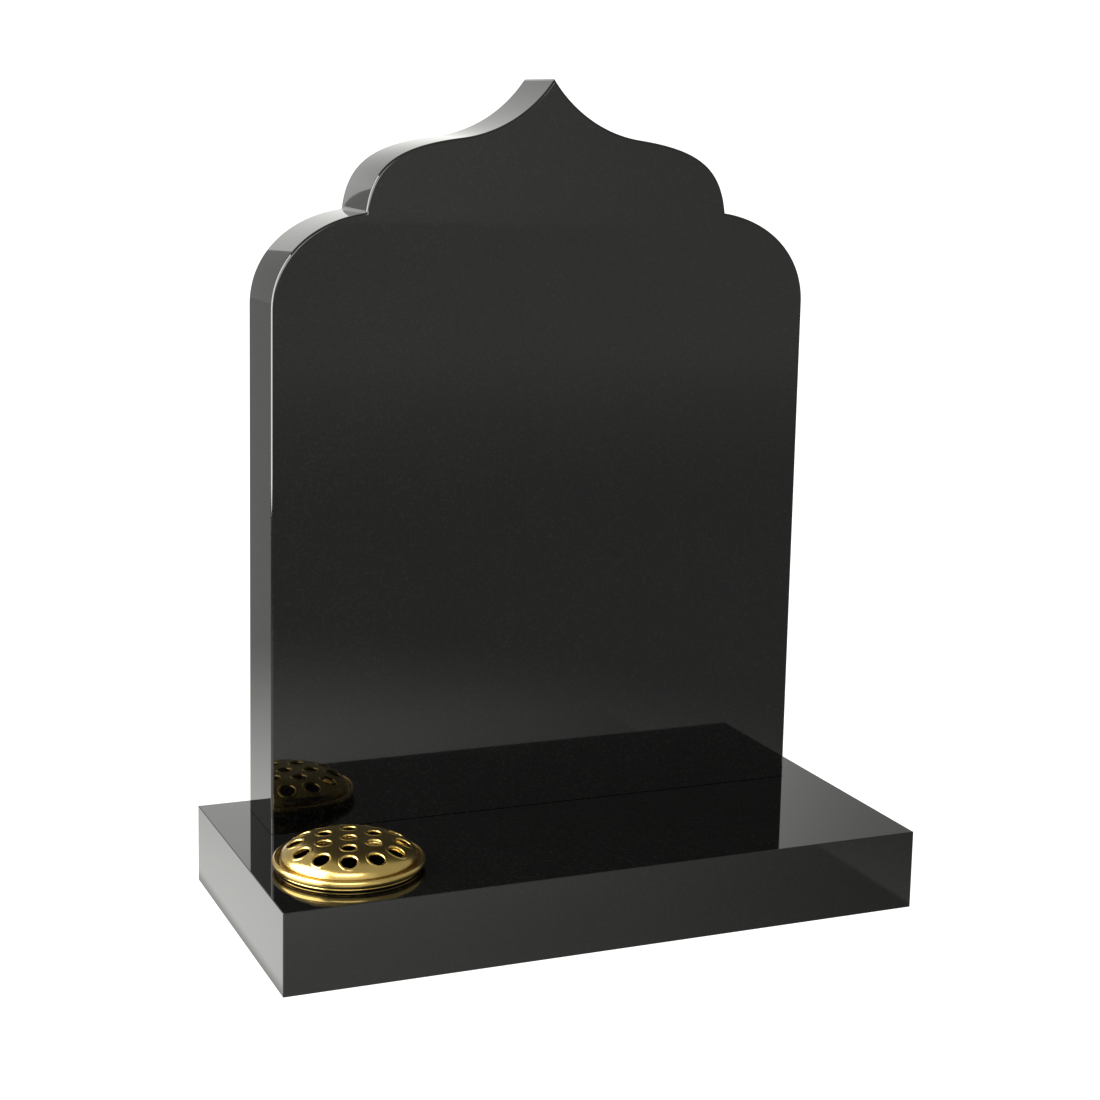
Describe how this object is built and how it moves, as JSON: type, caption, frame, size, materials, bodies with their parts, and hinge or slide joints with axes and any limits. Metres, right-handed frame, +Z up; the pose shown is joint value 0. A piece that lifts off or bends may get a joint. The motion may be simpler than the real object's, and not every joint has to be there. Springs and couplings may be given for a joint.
{
  "type": "headstone",
  "caption": "Upright lawn headstone with an ogee top on a flat base, and a flower container with a domed, pierced lid let into the base.",
  "frame": {"origin": "middle of the underside of the base, on the ground", "axes": "+Z up, front face towards -Y, +X to the right as seen from the front"},
  "size_m": [0.61, 0.294, 0.7623],
  "materials": {
    "granite": "black granite, mirror polished all over",
    "gold_metal": "gold anodised aluminium, satin"
  },
  "bodies": {
    "root": {"base": "granite", "headstone": "granite", "flower_container": "gold_metal", "container_lid": "gold_metal"}
  },
  "joints": []
}
